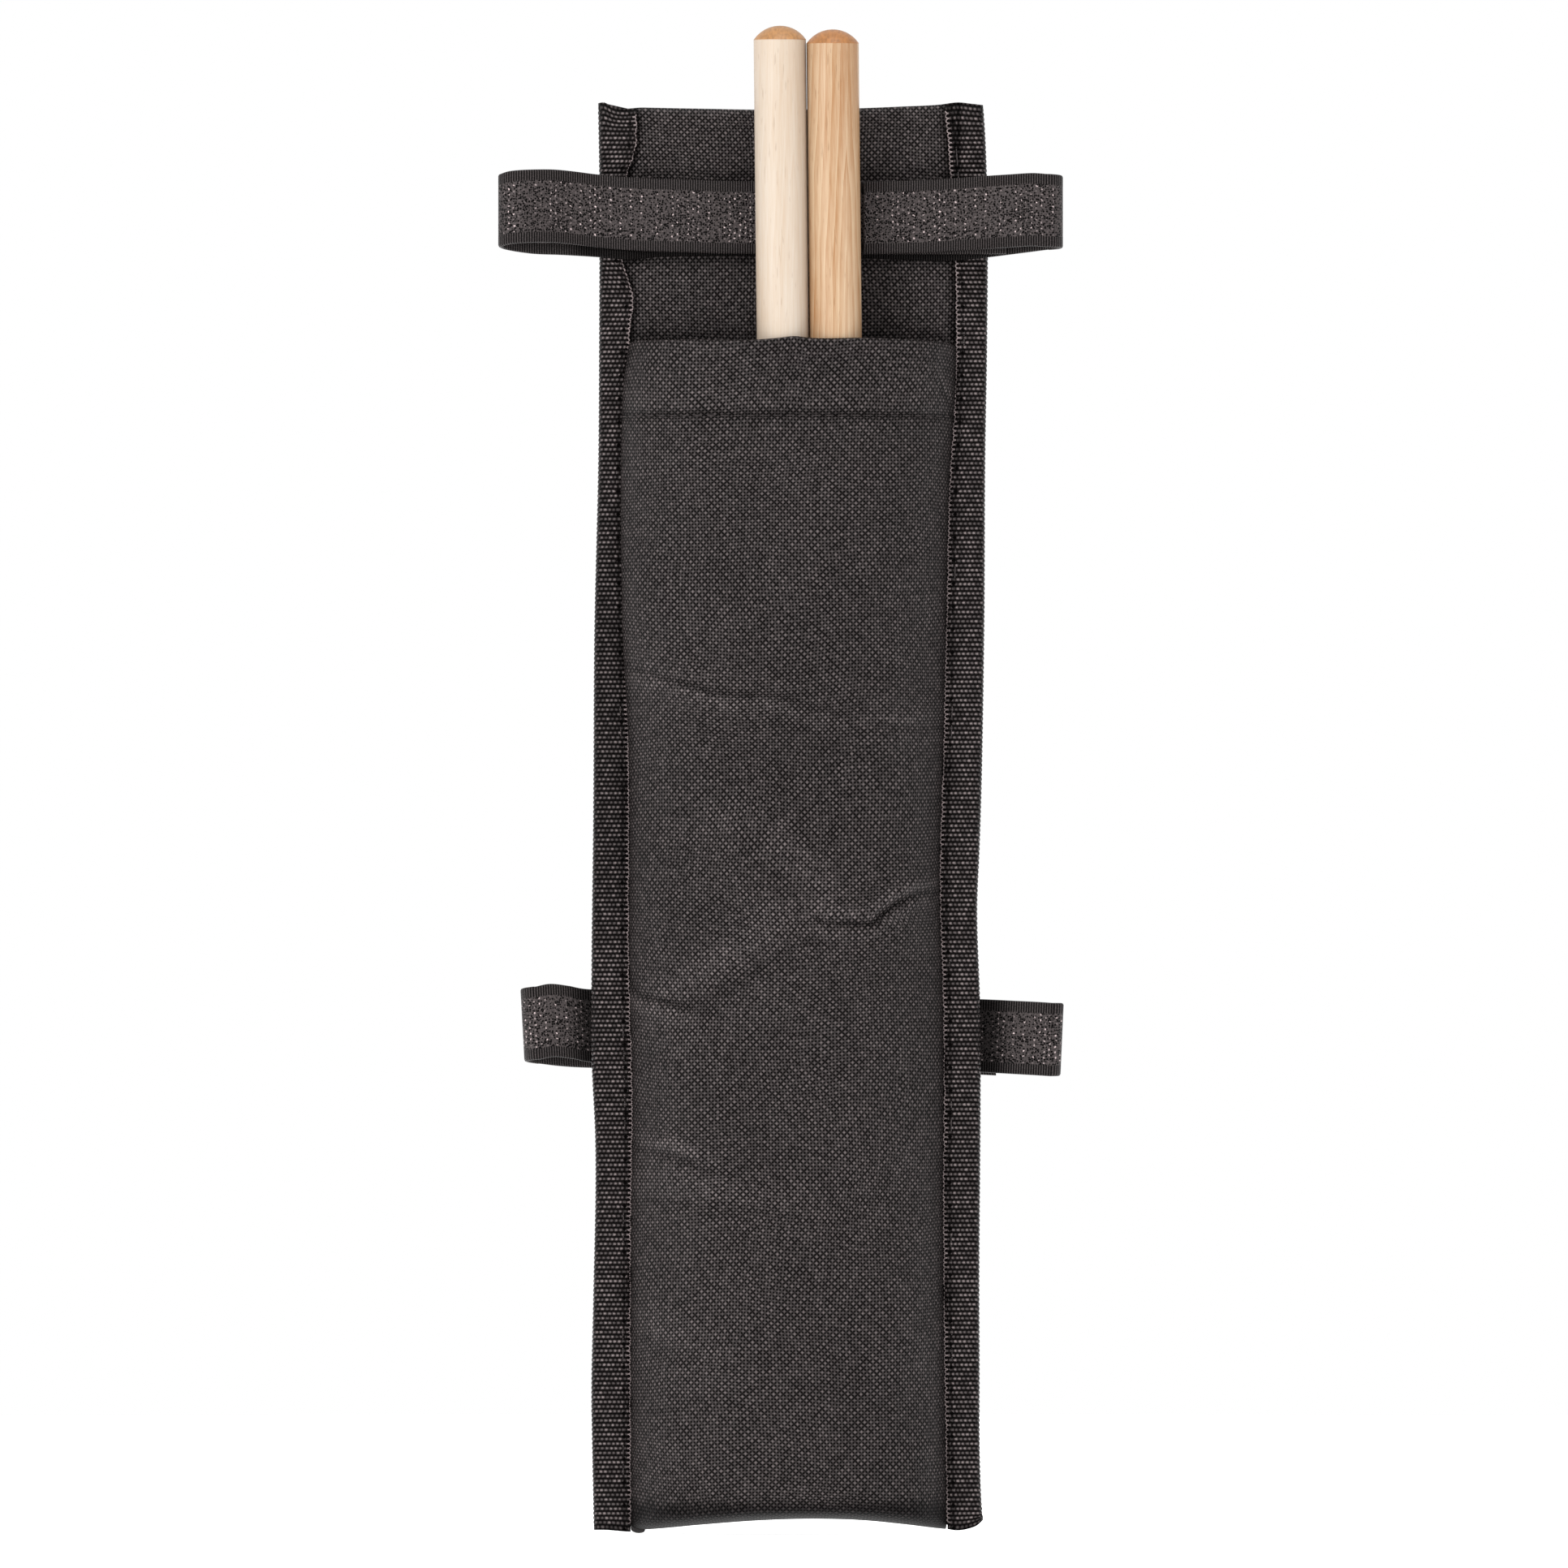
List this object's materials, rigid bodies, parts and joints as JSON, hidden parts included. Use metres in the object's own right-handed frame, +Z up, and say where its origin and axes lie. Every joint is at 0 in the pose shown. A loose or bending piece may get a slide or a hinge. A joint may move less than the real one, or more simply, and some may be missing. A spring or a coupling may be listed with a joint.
{
  "type": "drum stick bag",
  "caption": "Slim padded fabric stick holder with a front pocket holding two drum sticks and hook-and-loop straps above and below for tying it to a drum.",
  "frame": {"origin": "rear face of the back panel, on the bag's centre line, level with the middle of the upper strap", "axes": "+Z up along the bag towards the sticks' butt ends; +Y out of the back, so the pocket is on the -Y side; +X across the bag"},
  "size_m": [0.1542, 0.0353, 0.411],
  "materials": {
    "oxford_fabric": "coarse black woven polyester",
    "foam": "thin dark foam padding",
    "binding_webbing": "black ribbed polypropylene webbing",
    "thread": "black polyester thread",
    "hook_and_loop_tape": "black hook-and-loop tape",
    "pale_wood": "pale satin maple",
    "warm_wood": "warm satin hickory"
  },
  "bodies": {
    "bag": {"back_outer_panel": "oxford_fabric", "back_foam_pad": "foam", "back_inner_panel": "oxford_fabric", "left_binding": "binding_webbing", "right_binding": "binding_webbing", "left_binding_stitching": "thread", "right_binding_stitching": "thread", "pocket_front_panel": "oxford_fabric", "pocket_hem_stitching": "thread", "bottom_seam_stitching": "thread", "upper_strap": "hook_and_loop_tape", "upper_strap_stitching": "thread", "lower_strap": "hook_and_loop_tape", "lower_strap_stitching": "thread"},
    "upper_flap_curl_a": {"upper_strap_curl_a": "hook_and_loop_tape"},
    "upper_flap_curl_b": {"upper_strap_curl_b": "hook_and_loop_tape"},
    "upper_flap": {"upper_strap_flap": "hook_and_loop_tape"},
    "lower_long_flap_curl_a": {"lower_strap_long_curl_a": "hook_and_loop_tape"},
    "lower_long_flap_curl_b": {"lower_strap_long_curl_b": "hook_and_loop_tape"},
    "lower_long_flap": {"lower_strap_long_flap": "hook_and_loop_tape"},
    "lower_short_flap_curl_a": {"lower_strap_short_curl_a": "hook_and_loop_tape"},
    "lower_short_flap_curl_b": {"lower_strap_short_curl_b": "hook_and_loop_tape"},
    "lower_short_flap": {"lower_strap_short_flap": "hook_and_loop_tape"},
    "left_stick": {"left_stick": "pale_wood"},
    "right_stick": {"right_stick": "warm_wood"}
  },
  "joints": [
    {"name": "upper_flap_hinge_1", "type": "hinge", "parent": "bag", "child": "upper_flap_curl_a", "pos_m": [0.0724, -0.00612, 0], "axis": [0, 0, 1], "range_deg": [0, 57]},
    {"name": "upper_flap_hinge_2", "type": "hinge", "parent": "upper_flap_curl_a", "child": "upper_flap_curl_b", "pos_m": [0.0747, -0.0101, 0], "axis": [0, 0, 1], "range_deg": [0, 57]},
    {"name": "upper_flap_hinge_3", "type": "hinge", "parent": "upper_flap_curl_b", "child": "upper_flap", "pos_m": [0.0724, -0.01408, 0], "axis": [0, 0, 1], "range_deg": [0, 57]},
    {"name": "lower_long_flap_hinge_1", "type": "hinge", "parent": "bag", "child": "lower_long_flap_curl_a", "pos_m": [-0.07115, 0.00008, -0.223], "axis": [0, 0, 1], "range_deg": [0, 57]},
    {"name": "lower_long_flap_hinge_2", "type": "hinge", "parent": "lower_long_flap_curl_a", "child": "lower_long_flap_curl_b", "pos_m": [-0.0733, 0.0038, -0.223], "axis": [0, 0, 1], "range_deg": [0, 57]},
    {"name": "lower_long_flap_hinge_3", "type": "hinge", "parent": "lower_long_flap_curl_b", "child": "lower_long_flap", "pos_m": [-0.07115, 0.00752, -0.223], "axis": [0, 0, 1], "range_deg": [0, 57]},
    {"name": "lower_short_flap_hinge_1", "type": "hinge", "parent": "bag", "child": "lower_short_flap_curl_a", "pos_m": [0.07305, -0.00009, -0.223], "axis": [0, 0, -1], "range_deg": [0, 57]},
    {"name": "lower_short_flap_hinge_2", "type": "hinge", "parent": "lower_short_flap_curl_a", "child": "lower_short_flap_curl_b", "pos_m": [0.0746, 0.0026, -0.223], "axis": [0, 0, -1], "range_deg": [0, 57]},
    {"name": "lower_short_flap_hinge_3", "type": "hinge", "parent": "lower_short_flap_curl_b", "child": "lower_short_flap", "pos_m": [0.07305, 0.00528, -0.223], "axis": [0, 0, -1], "range_deg": [0, 57]},
    {"name": "left_stick_slide", "type": "slide", "parent": "bag", "child": "left_stick", "axis": [-0.0105, 0, 0.9999], "range_m": [0, 0.33]},
    {"name": "right_stick_slide", "type": "slide", "parent": "bag", "child": "right_stick", "axis": [-0.0105, 0, 0.9999], "range_m": [0, 0.33]}
  ],
  "couplings": [
    {"joint": "upper_flap_hinge_1", "follows": "upper_flap_hinge_3", "ratio": 1},
    {"joint": "upper_flap_hinge_2", "follows": "upper_flap_hinge_3", "ratio": 1},
    {"joint": "lower_long_flap_hinge_1", "follows": "lower_long_flap_hinge_3", "ratio": 1},
    {"joint": "lower_long_flap_hinge_2", "follows": "lower_long_flap_hinge_3", "ratio": 1},
    {"joint": "lower_short_flap_hinge_1", "follows": "lower_long_flap_hinge_3", "ratio": 1},
    {"joint": "lower_short_flap_hinge_2", "follows": "lower_long_flap_hinge_3", "ratio": 1},
    {"joint": "lower_short_flap_hinge_3", "follows": "lower_long_flap_hinge_3", "ratio": 1}
  ]
}
